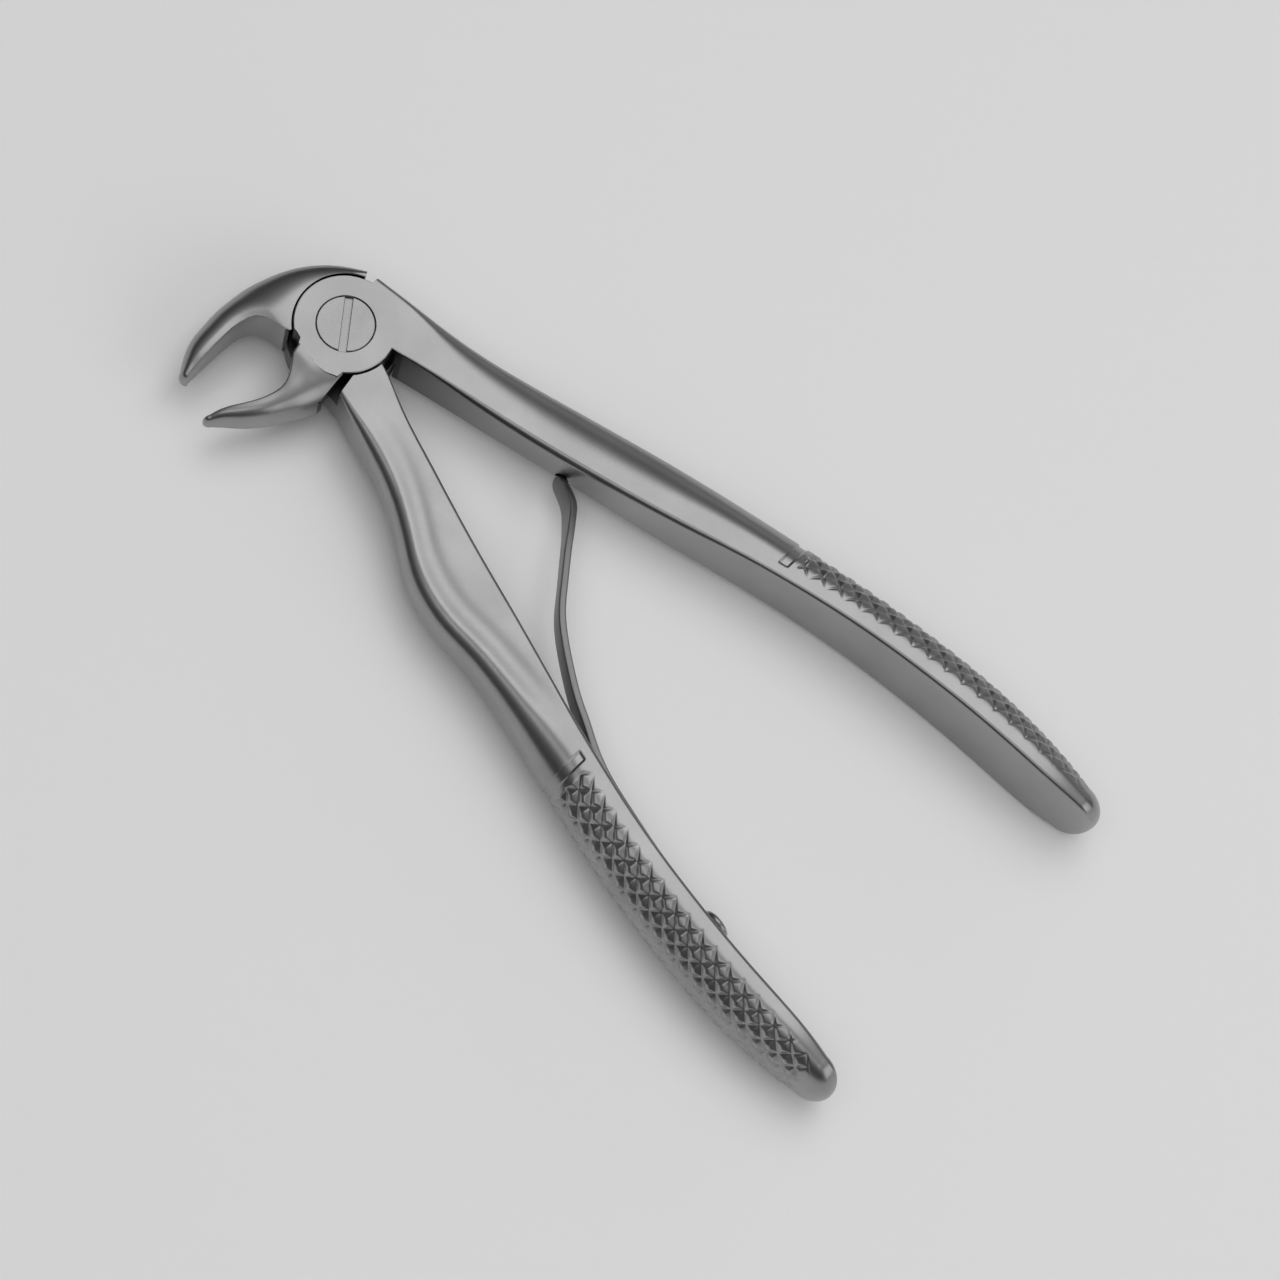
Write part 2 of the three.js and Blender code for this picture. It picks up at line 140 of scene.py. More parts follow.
HANDLE_A = [
    rib((-1.8, 1.0), (-1.8, 7.8), TOP, 0.2, 0.6, 0.6),
    rib((4, 1.5), (4, 8.7), TOP, 0.2, 0.8, 0.8),
    rib((9, 2.7), (9, 9.5), TOP, 0.25, 1.8, 1.2),
    rib((14, 3.9), (14, 10.6), 9.0, 0.5, 3.2, 1.7),
    rib((20, 5.2), (20, 12.4), 8.3, 0.8, 4.4, 2.2),
    rib((28, 7.1), (28, 15.0), 7.8, 1.0, 5.6, 2.6),
    rib((36, 9.2), (36, 17.4), 8.1, 1.0, 5.7, 2.8),
    rib((44, 11.4), (44, 19.6), 9.0, 0.9, 5.3, 3.1),
    rib((52, 13.8), (52, 21.6), 10.1, 0.8, 4.6, 3.7),
    *grip_ribs(1),
]

HANDLE_B = [
    rib((4.9, 0.2), (6.5, -7.4), TOP, 0.2, 0.6, 0.6),
    rib((8.6, -0.7), (9.2, -8.3), TOP, 0.25, 1.0, 1.0),
    rib((14, -2.8), (13.6, -9.7), 9.0, 0.4, 1.8, 1.8, 0, 0.1),
    rib((20, -4.6), (19.6, -11.8), 8.3, 0.5, 2.2, 2.2, 0, 0.22),
    rib((26, -6.4), (25.4, -14.9), 7.9, 0.5, 2.3, 2.3, 0, 0.25),
    rib((32, -8.2), (31.0, -18.1), 7.9, 0.5, 2.3, 2.3, 0, 0.25),
    rib((38, -9.9), (37.6, -19.8), 8.2, 0.5, 2.4, 2.4, 0, 0.25),
    rib((44, -11.6), (44, -20.2), 9.0, 0.5, 2.6, 2.6, 0, 0.25),
    rib((52, -14.0), (52, -21.5), 10.1, 0.5, 3.2, 3.2, 0, 0.2),
    *grip_ribs(-1),
]

BEAK_A = [
    rib((-2.1, -4.0), (5.4, -3.2), TOP, 0.2, 0.5, 0.5),
    rib((-2.05, -6.7), (5.6, -5.8), TOP, 0.2, 4.6, 1.4),
    rib((-1.75, -7.9), (5.75, -7.6), 8.9, 0.2, 5.0, 2.9),
    rib((-0.9, -9.0), (5.4, -9.5), 8.35, 0.2, 4.8, 3.5),
    rib((0.2, -10.9), (4.65, -11.7), 7.7, 0.25, 3.7, 3.5, 0.2),
    rib((0.3, -12.9), (3.45, -13.95), 7.0, 0.25, 2.7, 3.2, 0.3),
    rib((-0.5, -15.3), (2.1, -16.3), 6.4, 0.25, 2.1, 2.9, 0.4),
    rib((-1.8, -17.6), (0.4, -18.5), 5.7, 0.25, 1.8, 2.6, 0.4),
    rib((-2.9, -19.5), (-1.2, -20.1), 4.8, 0.35, 1.3, 2.1, 0.3),
    rib((-3.5, -21.2), (-2.5, -21.5), 3.2, 0.25, 0.7, 1.3, 0.1),
]

BEAK_B = [
    rib((-1.6, 3.6), (-3.5, 7.4), TOP, 0.2, 0.5, 0.5),
    rib((-3.6, 2.6), (-7.2, 5.1), TOP, 0.2, 2.2, 1.6),
    rib((-4.1, 0.6), (-10.2, 1.8), 8.8, 0.2, 3.4, 2.2),
    rib((-4.1, -2.2), (-12.0, -1.6), 8.5, 0.2, 4.6, 2.8),
    rib((-4.0, -5.6), (-12.9, -4.4), 8.3, 0.2, 5.4, 3.1),
    rib((-6.4, -6.5), (-13.25, -6.0), 8.0, 0.2, 4.8, 3.3, 0.1),
    rib((-8.4, -7.35), (-13.4, -7.6), 7.6, 0.2, 3.9, 3.3, 0.2),
    rib((-9.4, -8.8), (-13.5, -9.3), 7.1, 0.2, 3.3, 3.2, 0.3),
    rib((-9.75, -10.6), (-13.45, -11.1), 6.7, 0.2, 2.9, 3.1, 0.3),
    rib((-9.75, -12.8), (-13.2, -13.2), 6.35, 0.2, 2.7, 3.0, 0.4),
    rib((-9.6, -15.3), (-12.7, -15.8), 5.9, 0.25, 2.4, 2.7, 0.4),
    rib((-9.4, -17.6), (-11.6, -18.1), 5.2, 0.3, 1.7, 2.4, 0.3),
    rib((-9.2, -19.3), (-10.5, -19.7), 4.0, 0.3, 1.0, 1.8, 0.1),
]
BEAK_TIP_ROUND = 1.0

# ---------- curves and lofts ----------


def spline_rows(rows, u):
    """Every column of rows on its own natural cubic spline, read at the places u."""
    rows = np.array(rows, float)
    n = len(rows)
    system = np.eye(n)
    load = np.zeros_like(rows)
    for i in range(1, n - 1):
        system[i, i - 1 : i + 2] = 1, 4, 1
        load[i] = 6 * (rows[i - 1] - 2 * rows[i] + rows[i + 1])
    bend = np.linalg.solve(system, load)
    i = np.minimum(u.astype(int), n - 2)
    t = (u - i)[:, None]
    s = 1 - t
    line = s * rows[i] + t * rows[i + 1]
    return line + ((s**3 - s) * bend[i] + (t**3 - t) * bend[i + 1]) / 6


def spaced_ribs(ribs, spacing):
    """Ribs between the design ribs, spacing(x) millimetres apart along the loft."""
    fine = spline_rows(ribs, np.linspace(0, len(ribs) - 1, 60 * len(ribs)))
    middle = (fine[:, 0:2] + fine[:, 2:4]) / 2
    step = np.linalg.norm(np.diff(middle, axis=0), axis=1)
    local_spacing = np.array([spacing(x) for x in middle[1:, 0]])
    count = np.concatenate([[0], np.cumsum(step / local_spacing)])
    marks = np.linspace(0, count[-1], int(count[-1]) + 1)
    return spline_rows(ribs, np.interp(marks, count, np.linspace(0, len(ribs) - 1, len(fine))))


FACE_POINTS = 24  # points on each stretch of a quarter before it is respaced


def quarter_of(row):
    """A rib's front half, from the middle of its inner face to the middle of its outer face, as (u, v)."""
    tall, in_r, out_w, out_h, hollow, flute = row[4:]
    wide = math.hypot(row[2] - row[0], row[3] - row[1])
    half = tall / 2
    k = np.linspace(0, 1, FACE_POINTS)
    turn = k * math.pi / 2
    inner = np.stack([np.zeros_like(k), (half - in_r) * k], 1)
    corner = np.stack([in_r * (1 - np.cos(turn)), half - in_r * (1 - np.sin(turn))], 1)
    front = np.stack([in_r + (wide - out_w - in_r) * k, np.full_like(k, half)], 1)
    outer = np.stack([wide - out_w * (1 - np.sin(turn)), half - out_h * (1 - np.cos(turn))], 1)
    side = np.stack([np.full_like(k, wide), (half - out_h) * (1 - k)], 1)
    points = np.concatenate([inner, corner[1:], front[1:], outer[1:], side[1:]])
    u, v = points[:, 0].copy(), points[:, 1].copy()
    dish = hollow * np.clip(1 - (v / half) ** 2, 0, None) * np.clip(1 - 2 * u / wide, 0, None)
    flute_u = wide - out_w - FLUTE_WIDTH / 2
    v -= flute * np.exp(-(((u - flute_u) / FLUTE_WIDTH) ** 2) * 4) * (v > half - out_h)
    return np.stack([u + dish, v], 1)


def respaced(points, count):
    """count points evenly along the line through points, and its length."""
    length = np.concatenate([[0], np.cumsum(np.linalg.norm(np.diff(points, axis=0), axis=1))])
    at = np.linspace(0, length[-1], count)
    return np.stack([np.interp(at, length, column) for column in points.T], 1), length[-1]


def section_loops(rows, count):
    """Closed loops round the ribs, and for each point its distance along the surface from the inner edge."""
    loops, edge = [], []
    for row in rows:
        points, length = respaced(quarter_of(row), count)
        below = points[1:-1][::-1] * (1, -1)
        u, v = np.concatenate([points, below]).T
        start = np.array([row[0], row[1]])
        along = np.array([row[2], row[3]]) - start
        along /= np.linalg.norm(along)
        flat = start + u[:, None] * along
        loops.append(np.column_stack([flat, MID_Z + v]))
        from_edge = np.linspace(0, length, count) - row[4] / 2
        edge.append(np.concatenate([from_edge, from_edge[1:-1][::-1]]))
    return np.array(loops), np.array(edge)


def rounded_end(loops, reach, steps=14):
    """Loops that close the loft's end as a half ellipse in every direction."""
    centre = loops[-1].mean(0)
    ahead = centre - loops[-2].mean(0)
    ahead /= np.linalg.norm(ahead)
    from_centre = loops[-1] - centre
    turn = np.linspace(0, math.pi / 2, steps + 1)[1:-1]
    return np.array([centre + from_centre * math.cos(a) + ahead * reach * math.sin(a) for a in turn])


def loft_faces(rings, around):
    """Quads between rings of points, and a face over each end."""
    ring = np.arange(rings - 1)[:, None] * around
    j = np.arange(around)[None]
    k = (j + 1) % around
    quads = np.stack([ring + j, ring + k, ring + around + k, ring + around + j], -1).reshape(-1, 4)
    return quads.tolist() + [list(range(around))[::-1], list(range((rings - 1) * around, rings * around))]


def loft_normals(loops):
    """Outward unit normals of the loft's points."""
    along = np.gradient(loops, axis=0)
    around = np.roll(loops, -1, 1) - np.roll(loops, 1, 1)
    normal = np.cross(along, around)
    normal /= np.linalg.norm(normal, axis=2, keepdims=True) + 1e-12
    outward = ((loops - loops.mean(1, keepdims=True)) * normal).sum() > 0
    return normal if outward else -normal


# ---------- meshes ----------


def new_object(name, points, faces):
    """A closed mesh from points in millimetres, with its faces turned outwards."""
    mesh = bpy.data.meshes.new(name)
    mesh.from_pydata((np.asarray(points).reshape(-1, 3) * MM).tolist(), [], faces)
    obj = bpy.data.objects.new(name, mesh)
    bpy.context.collection.objects.link(obj)
    if volume_of(mesh) < 0:
        mesh.flip_normals()
    return obj


def volume_of(mesh):
    """Six times the volume, negative where the faces point inwards."""
    mesh.calc_loop_triangles()
    co = np.array([v.co for v in mesh.vertices])
    tri = np.array([t.vertices[:] for t in mesh.loop_triangles])
    a, b, c = co[tri[:, 0]], co[tri[:, 1]], co[tri[:, 2]]
    return float((a * np.cross(b, c)).sum())


def combine(obj, tools, operation):
    """obj joined with, or cut by, each tool in turn. The tools are used up."""
    for tool in tools:
        modifier = obj.modifiers.new("cut", "BOOLEAN")
        modifier.operation = operation
        modifier.solver = "MANIFOLD"
        modifier.object = tool
    graph = bpy.context.evaluated_depsgraph_get()
    made = bpy.data.meshes.new_from_object(obj.evaluated_get(graph))
    obj.modifiers.clear()
    obj.data = made
    for tool in tools:
        bpy.data.objects.remove(tool)
    return obj


def turned(name, profile, steps=128):
    """A turned solid round Z from (radius, height) pairs that start and end on the axis."""
    angle = np.linspace(0, 2 * math.pi, steps, endpoint=False)
    rings = [[(r * math.cos(a), r * math.sin(a), z) for a in angle] for r, z in profile[1:-1]]
    points = [p for ring in rings for p in ring]
    points += [(0, 0, profile[0][1]), (0, 0, profile[-1][1])]
    faces = loft_faces(len(rings), steps)[:-2]
    first, last = len(points) - 2, len(points) - 1
    top = (len(rings) - 1) * steps
    for j in range(steps):
        k = (j + 1) % steps
        faces += [[first, k, j], [last, top + j, top + k]]
    return new_object(name, points, faces)


def plate(name, outline, low, high):
    """A flat solid with the given outline between two heights."""
    count = len(outline)
    points = [(x, y, z) for z in (low, high) for x, y in outline]
    return new_object(name, points, loft_faces(2, count))


def cylinder(name, radius, low, high, steps=128):
    return turned(name, [(0, low), (radius, low), (radius, high), (0, high)], steps)


def place(obj, at, toward):
    """Turns obj's +Z to point along toward and moves its origin to at, both in the row frame."""
    turn = Vector((0, 0, 1)).rotation_difference(Vector(toward).normalized()).to_matrix().to_4x4()
    obj.data.transform(Matrix.Translation(Vector(at) * MM) @ turn)
    return obj


SHARP = math.radians(28)
KNURL_FROM = 61  # edges beyond this stay smooth, because the knurl's mesh is fine enough


def finish_surface(obj):
    """Smooth shading, with the machined edges left sharp."""
    mesh = obj.data
    mesh.shade_smooth()
    mesh.set_sharp_from_angle(angle=SHARP)
    co = np.zeros(len(mesh.vertices) * 3, np.float32)
    mesh.vertices.foreach_get("co", co)
    x = co.reshape(-1, 3)[:, 0]
    ends = np.zeros(len(mesh.edges) * 2, np.int32)
    mesh.edges.foreach_get("vertices", ends)
    sharp = mesh.attributes["sharp_edge"]
    values = np.zeros(len(mesh.edges), bool)
    sharp.data.foreach_get("value", values)
    values &= x[ends.reshape(-1, 2)].max(1) < KNURL_FROM * MM
    sharp.data.foreach_set("value", values)
    return obj


# ---------- the knurl ----------


def ramp(value, low, high):
    return np.clip((value - low) / (high - low), 0, 1)


def knurled(loops, edge):
    """The grip's points, sunk where the two families of V grooves and the channel are cut."""
    x = loops[:, :, 0]
    middle = loops[:, edge.shape[1] // 2]
    travel = np.concatenate([[0], np.cumsum(np.linalg.norm(np.diff(middle, axis=0), axis=1))])[:, None]
    outer_mid = edge.max(1, keepdims=True)
    side = np.where(np.arange(edge.shape[1]) <= edge.shape[1] // 2, 1.0, -1.0)
    around = (outer_mid - edge) * side
    reach = ramp(edge, KNURL_BORDER, KNURL_BORDER + KNURL_RUNOUT)
    ends = ramp(x, GRIP_START, GRIP_START + KNURL_FADE[0]) * ramp(-x, -GRIP_END, -GRIP_END + KNURL_FADE[1])
    depth = np.zeros_like(x)
    slant = 1 / math.tan(KNURL_ANGLE)
    for sign, half_width in zip((1, -1), KNURL_HALF_WIDTH):
        phase = (travel + sign * slant * around) / KNURL_PITCH
        away = np.abs(phase - np.round(phase)) * KNURL_PITCH * math.sin(KNURL_ANGLE)
        steep = KNURL_DEPTH / half_width
        depth = np.maximum(depth, KNURL_DEPTH * reach * ends - away * steep)
    wall, side_wall = CHANNEL_WALL
    channel = ramp(x, CHANNEL[0], CHANNEL[0] + wall) * ramp(-x, -CHANNEL[1], -CHANNEL[1] + wall)
    channel *= ramp(edge, KNURL_BORDER, KNURL_BORDER + side_wall)
    depth = np.maximum(depth, channel * CHANNEL_DEPTH)
    return loops - loft_normals(loops) * depth[:, :, None]


# ---------- the levers ----------

SHAFT_SPACING, GRIP_SPACING, BEAK_SPACING = 0.3, 0.14, 0.2
FINE_FROM = 60.5  # where the handle's mesh becomes fine enough for the knurl
HANDLE_QUARTER, BEAK_QUARTER = 130, 90  # points along a quarter section


def handle_spacing(x):
    return GRIP_SPACING if x > FINE_FROM else SHAFT_SPACING


def handle(name, ribs):
    loops, edge = section_loops(spaced_ribs(ribs, handle_spacing), HANDLE_QUARTER)
    loops = knurled(loops, edge)
    loops = np.concatenate([loops, rounded_end(loops, HANDLE_END_ROUND)])
    return new_object(name, loops, loft_faces(len(loops), loops.shape[1]))


def beak(name, ribs):
    loops, _ = section_loops(spaced_ribs(ribs, lambda x: BEAK_SPACING), BEAK_QUARTER)
    loops[:, :, 2] = np.clip(loops[:, :, 2], 0, TOP)
    loops = np.concatenate([loops, rounded_end(loops, BEAK_TIP_ROUND)])
    return new_object(name, loops, loft_faces(len(loops), loops.shape[1]))


DISC_STEPS, SMALL_STEPS = 192, 48  # segments in a large circle and in a small one


def disc(name, radius, low, high):
    """A disc with a chamfer round both faces."""
    return turned(name, [
        (0, low), (radius - EDGE, low), (radius, low + EDGE),
        (radius, high - EDGE), (radius - EDGE, high), (0, high)], DISC_STEPS)


OVER = 1  # how far a cutter reaches past the joint's faces
ABOVE, BELOW = TOP + OVER, -OVER
LOW_HALF = MID_Z + LAP_GAP / 2  # where lever A's half of the joint begins
HIGH_HALF = MID_Z - LAP_GAP / 2  # where lever B's half ends
DISC_ROOT = 2  # the front disc starts in the lower half, which the seat then cuts away
NOTCH_OVERCUT = 0.5
DRILL_START = -1.5  # outside the face that is drilled
FIX_FACE, FIX_INTO = (90, -22.12, MID_Z), Vector((-0.11, -1, 0)).normalized()
SOCKET_MOUTH, SOCKET_INTO = (33.4, 8.5, 2.15), Vector((-0.26, 1, 0)).normalized()

# The web ties the back disc to lever B's shaft, and turns in the room cut for it in the root of beak A.
WEB = [(2.2, -6.3), (3.7, -7.15), (6.5, -7.4), (6.2, -2.0)]
WEB_CLEARANCE = [(0.6, -6.9), (2.1, -7.95), (5.2, -8.8), (8.0, -8.8), (8.0, -2.0), (2.0, -2.0)]
# The end face of beak A's root faces lever B's shoulder. The ledge of the disc stands above it.
BEAK_END = [(4.45, -2.5), (4.7, -4.9), (5.0, -8.9), (5.15, -9.9), (9.0, -12.0), (9.0, -2.5)]
FRONT_LEDGE = [(4.6, -4.9), (4.5, -5.95), (3.0, -6.68), (1.2, -6.95), (0.3, -6.5), (0.3, -4.0)]
# The notch in the front disc and the facet on the root of beak B face each other.
FRONT_NOTCH = [(-4.6, -5.5), (-3.6, -5.5), (-2.6, -5.75), (-2.3, -6.3), (-2.2, -7.2), (-4.6, -7.2)]
ROOT_FACET = [(-3.9, -5.2), (-4.15, -5.4), (-4.55, -6.3), (-4.4, -7.6), (-2.0, -7.6), (-2.0, -5.2)]


def lever_a():
    lever = handle("lever_with_front_disc", HANDLE_A)
    root = combine(beak("beak", BEAK_A), [plate("end", BEAK_END, BELOW, ABOVE)], "DIFFERENCE")
    front_disc = disc("disc", FRONT_DISC_RADIUS, DISC_ROOT, TOP)
    combine(lever, [root, front_disc, plate("ledge", FRONT_LEDGE, LOW_HALF, TOP)], "UNION")
    web_room = plate("web_room", WEB_CLEARANCE, BELOW, LOW_HALF)
    seat = turned("seat", [
        (0, BELOW), (BACK_SEAT_RADIUS + OVER + EDGE, BELOW), (BACK_SEAT_RADIUS, EDGE),
        (BACK_SEAT_RADIUS, LOW_HALF), (0, LOW_HALF)], DISC_STEPS)
    notch = plate("notch", FRONT_NOTCH, LOW_HALF - NOTCH_OVERCUT, ABOVE)
    head, shank = HEAD_RADIUS + SCREW_GAP, SHANK_RADIUS + SCREW_GAP
    head_seat = TOP - HEAD_HEIGHT - HEAD_SEAT_GAP
    bore = turned("bore", [
        (0, BELOW), (shank, BELOW), (shank, head_seat), (head, head_seat), (head, TOP - HEAD_CHAMFER),
        (head + OVER + HEAD_CHAMFER, ABOVE), (0, ABOVE)])
    socket = cylinder("socket", SOCKET_RADIUS, DRILL_START, SOCKET_DEPTH, SMALL_STEPS)
    place(socket, SOCKET_MOUTH, SOCKET_INTO)
    return combine(lever, [web_room, seat, notch, bore, socket], "DIFFERENCE")


def lever_b():
    lever = handle("lever_with_back_disc", HANDLE_B)
    combine(lever, [beak("beak", BEAK_B)], "UNION")
    combine(lever, [plate("facet", ROOT_FACET, BELOW, ABOVE)], "DIFFERENCE")
    back_disc = disc("disc", BACK_DISC_RADIUS, 0, HIGH_HALF)
    combine(lever, [back_disc, plate("web", WEB, 0, HIGH_HALF)], "UNION")
    seat = turned("seat", [
        (0, HIGH_HALF), (FRONT_SEAT_RADIUS, HIGH_HALF), (FRONT_SEAT_RADIUS, TOP - EDGE),
        (FRONT_SEAT_RADIUS + OVER + EDGE, ABOVE), (0, ABOVE)], DISC_STEPS)
    bore = cylinder("bore", THREAD_RADIUS + SCREW_GAP, BELOW, ABOVE)
    fixing = cylinder("fixing", FIX_SHANK_RADIUS + SCREW_GAP, DRILL_START, FIX_HOLE_DEPTH, SMALL_STEPS)
    place(fixing, FIX_FACE, FIX_INTO)
    return combine(lever, [seat, bore, fixing], "DIFFERENCE")


# ---------- screws and spring ----------


def pivot_screw():
    base = TOP - HEAD_HEIGHT
    tail_chamfer = 0.2
    body = turned("pivot_screw_detailed", [
        (0, 0), (THREAD_RADIUS - tail_chamfer, 0), (THREAD_RADIUS, tail_chamfer), (THREAD_RADIUS, MID_Z),
        (SHANK_RADIUS, MID_Z + LAP_GAP), (SHANK_RADIUS, base), (HEAD_RADIUS, base),
        (HEAD_RADIUS, TOP - EDGE), (HEAD_RADIUS - EDGE, TOP), (0, TOP)])
    half, lip = SLOT_WIDTH / 2, EDGE / 2
    flare = half + lip + OVER
    section = [
        (-half, -SLOT_DEPTH), (half, -SLOT_DEPTH), (half, -lip),
        (flare, OVER), (-flare, OVER), (-half, -lip)]
    reach = HEAD_RADIUS + OVER
    points = [(x, y, TOP + z) for x in (-reach, reach) for y, z in section]
    slot = new_object("slot", points, loft_faces(2, len(section)))
    slot.data.transform(Matrix.Rotation(SLOT_ANGLE, 4, "Z"))
    return combine(body, [slot], "DIFFERENCE")


def fixing_screw():
    """The domed screw, made on +Z with its origin under the head and then turned into place."""
    quarter_turn = np.linspace(0, math.pi / 2, 12)[:-1]
    crown = FIX_HEAD_HEIGHT - FIX_RIM
    dome = [(FIX_HEAD_RADIUS * math.cos(a), FIX_RIM + crown * math.sin(a)) for a in quarter_turn]
    taper, taper_length, edge = 0.3, 0.4, 0.1
    body = turned("spring_fixing_screw_detailed", [
        (0, -FIX_DEPTH), (FIX_SHANK_RADIUS - taper, -FIX_DEPTH),
        (FIX_SHANK_RADIUS, -FIX_DEPTH + taper_length),
        (FIX_SHANK_RADIUS, 0), (FIX_HEAD_RADIUS - edge, 0), (FIX_HEAD_RADIUS, edge),
        *dome, (0, FIX_HEAD_HEIGHT)], 64)
    half, reach = FIX_SLOT_WIDTH / 2, FIX_SLOT_REACH
    outline = [(-reach, -half), (reach, -half), (reach, half), (-reach, half)]
    slot = plate("slot", outline, FIX_HEAD_HEIGHT - FIX_SLOT_DEPTH, FIX_HEAD_HEIGHT + OVER)
    combine(body, [slot], "DIFFERENCE")
    lift = LEAF_SEAT_GAP + LEAF_THICKNESS + LEAF_SEAT_GAP
    return place(body, Vector(FIX_FACE) - FIX_INTO * lift, -FIX_INTO)


LEAF_ROWS = [  # x, y, z of the middle, width, and lean in degrees
    (94, -21.95, MID_Z, 5.0, 0), (90, -21.55, MID_Z, 5.0, 0), (84, -20.85, MID_Z, 5.0, 0),
    (78, -19.95, MID_Z, 5.0, 0), (72, -18.75, MID_Z, 5.0, 0), (67, -17.55, MID_Z, 5.0, 0),
    (63, -16.0, MID_Z, 5.0, 0), (59.5, -14.2, MID_Z, 5.0, 0), (55.8, -12.3, MID_Z, 5.0, 0),
    (50.16, -8.6, MID_Z, 5.0, 0), (46.83, -5.75, MID_Z, 4.9, 0), (44.53, -2.99, 4.5, 4.6, 0),
    (41.65, 0.57, 4.2, 4.1, 2), (40.0, 2.7, 3.9, 3.8, 5), (38.5, 4.5, 3.5, 3.4, 12),
    (37.3, 5.8, 3.1, 3.1, 20), (36.0, 6.65, 2.8, 2.8, 27), (34.7, 7.25, 2.4, 2.6, 28),
    (33.7, 7.8, 2.2, 2.5, 28), (33.2, 8.4, 2.15, 2.4, 28),
]
LEAF_SPACING = 0.25
LEAST_END = 0.04  # keeps the leaf's end sections open


def evenly_along(rows, spacing):
    """A spline through the rows, read every spacing millimetres, and its length."""
    fine = spline_rows(rows, np.linspace(0, len(rows) - 1, 80 * len(rows)))
    length = np.concatenate([[0], np.cumsum(np.linalg.norm(np.diff(fine[:, :2], axis=0), axis=1))])
    at = np.linspace(0, length[-1], int(length[-1] / spacing))
    return np.stack([np.interp(at, length, column) for column in fine.T], 1), length[-1]


def leaf_section(middle, across, half_height, lean, steps=6):
    """A rounded rectangle that stands on edge at middle, its top leaning away from across."""
    half, radius = LEAF_THICKNESS / 2, LEAF_EDGE_RADIUS
    flat = Vector((across[0], across[1], 0))
    up = Vector((0, 0, 1))
    side = flat * math.cos(lean) + up * math.sin(lean)
    rise = up * math.cos(lean) - flat * math.sin(lean)
    loop = []
    for sx, sz, start in ((1, 1, 0), (-1, 1, 90), (-1, -1, 180), (1, -1, 270)):
        for i in range(steps + 1):
            a = math.radians(start + 90 * i / steps)
            u = sx * (half - radius) + radius * math.cos(a)
            v = sz * max(half_height - radius, 0) + min(radius, half_height) * math.sin(a)
            loop.append(Vector(middle) + side * u + rise * v)
    return loop


def leaf_spring():
    rows, length = evenly_along(LEAF_ROWS, LEAF_SPACING)
    tangent = np.gradient(rows[:, :2], axis=0)
    tangent /= np.linalg.norm(tangent, axis=1, keepdims=True)
    normals = np.stack([-tangent[:, 1], tangent[:, 0]], 1)
    travel = np.linspace(0, length, len(rows))
    loops = []
    for (x, y, z, width, lean), across, done in zip(rows, normals, travel):
        half_height = width / 2
        for reach, gone in ((half_height, done), (LEAF_END_ROUND, length - done)):
            if gone < reach:
                half_height *= math.sqrt(max(1 - (1 - gone / reach) ** 2, LEAST_END))
        loops.append(leaf_section((x, y, z), across, half_height, math.radians(lean)))
    loops = np.array(loops)
    leaf = new_object("return_spring_detailed", loops, loft_faces(len(loops), loops.shape[1]))
    hole = place(cylinder("hole", FIX_SHANK_RADIUS + SCREW_GAP, -2, 2, SMALL_STEPS), FIX_FACE, FIX_INTO)
    return combine(leaf, [hole], "DIFFERENCE")


# ---------- materials ----------

PAINTED_SHADE_LAYER = "painted_shade"  # 1 on the faces inside the lap joint and in its gaps, where painted shade darkens the steel
# The near-black colour of the painted shade in the joint's gaps and corners.
PAINTED_SHADE_COLOUR = (0.03, 0.03, 0.03, 1)
# Boxes round the gaps beside the beaks' roots, whose walls get painted shade.
POCKET_A = (4.3, 7.0, -9.6, -4.2)  # lowest and highest x, then y, of the gap beside the root of beak A
POCKET_B = (-4.8, -2.0, -7.6, -5.1)  # and beside the root of beak B
LAP_RADIUS = 9
RIM_TOLERANCE = 0.03
CROOK_RADIUS = 8.7  # the crook between the disc and lever A's inner face, which gets painted shade
FADE_FROM, FADE_TO, FADE_TONE = 7, 34, 0.75  # distances from the pivot, along that face, over which its painted shade fades out, and the shade's strength


def within(box, x, y):
    return box[0] < x < box[1] and box[2] < y < box[3]


def painted_shade_of(face):
    """How much painted shade a face gets: 1 on rims, seats and pockets, fading out along lever A's inner
    face.
    """
    x, y, height = face.center / MM
    normal = face.normal
    radius = math.hypot(x, y)
    on_shaft_a = x > 5 and y > 0
    if abs(normal.z) > 0.9 and abs(height - MID_Z) < LAP_GAP and radius < LAP_RADIUS:
        return 1.0
    if abs(normal.z) < 0.7 and EDGE < height < TOP - EDGE:
        rims = FRONT_DISC_RADIUS, FRONT_SEAT_RADIUS, BACK_SEAT_RADIUS
        if any(abs(radius - rim) < RIM_TOLERANCE for rim in rims) or within(POCKET_B, x, y):
            return 1.0
        if within(POCKET_A, x, y) and abs(normal.x) > 0.8:
            return 1.0
        if on_shaft_a and radius < CROOK_RADIUS:
            return 1.0
    if on_shaft_a and normal.y < -0.7:
        return FADE_TONE * max(0.0, min(1.0, (FADE_TO - radius) / (FADE_TO - FADE_FROM)))
    return 0.0


def mark_painted_shade(obj):
    # Stores each face's painted shade as a face attribute.
    layer = obj.data.attributes.new(PAINTED_SHADE_LAYER, "FLOAT", "FACE")
    layer.data.foreach_set("value", [painted_shade_of(face) for face in obj.data.polygons])


def colour_mix(nodes, second):
    """A colour mix with its second colour set: returns the node, its first colour and its result."""
    mix = nodes.new("ShaderNodeMix")
    mix.data_type = "RGBA"
    first_socket, second_socket = [socket for socket in mix.inputs if socket.type == "RGBA"]
    second_socket.default_value = second
    result = [socket for socket in mix.outputs if socket.type == "RGBA"][0]
    return mix, first_socket, result


def noise(nodes, scale, detail):
    texture = nodes.new("ShaderNodeTexNoise")
    texture.inputs["Scale"].default_value = scale
    texture.inputs["Detail"].default_value = detail
    return texture


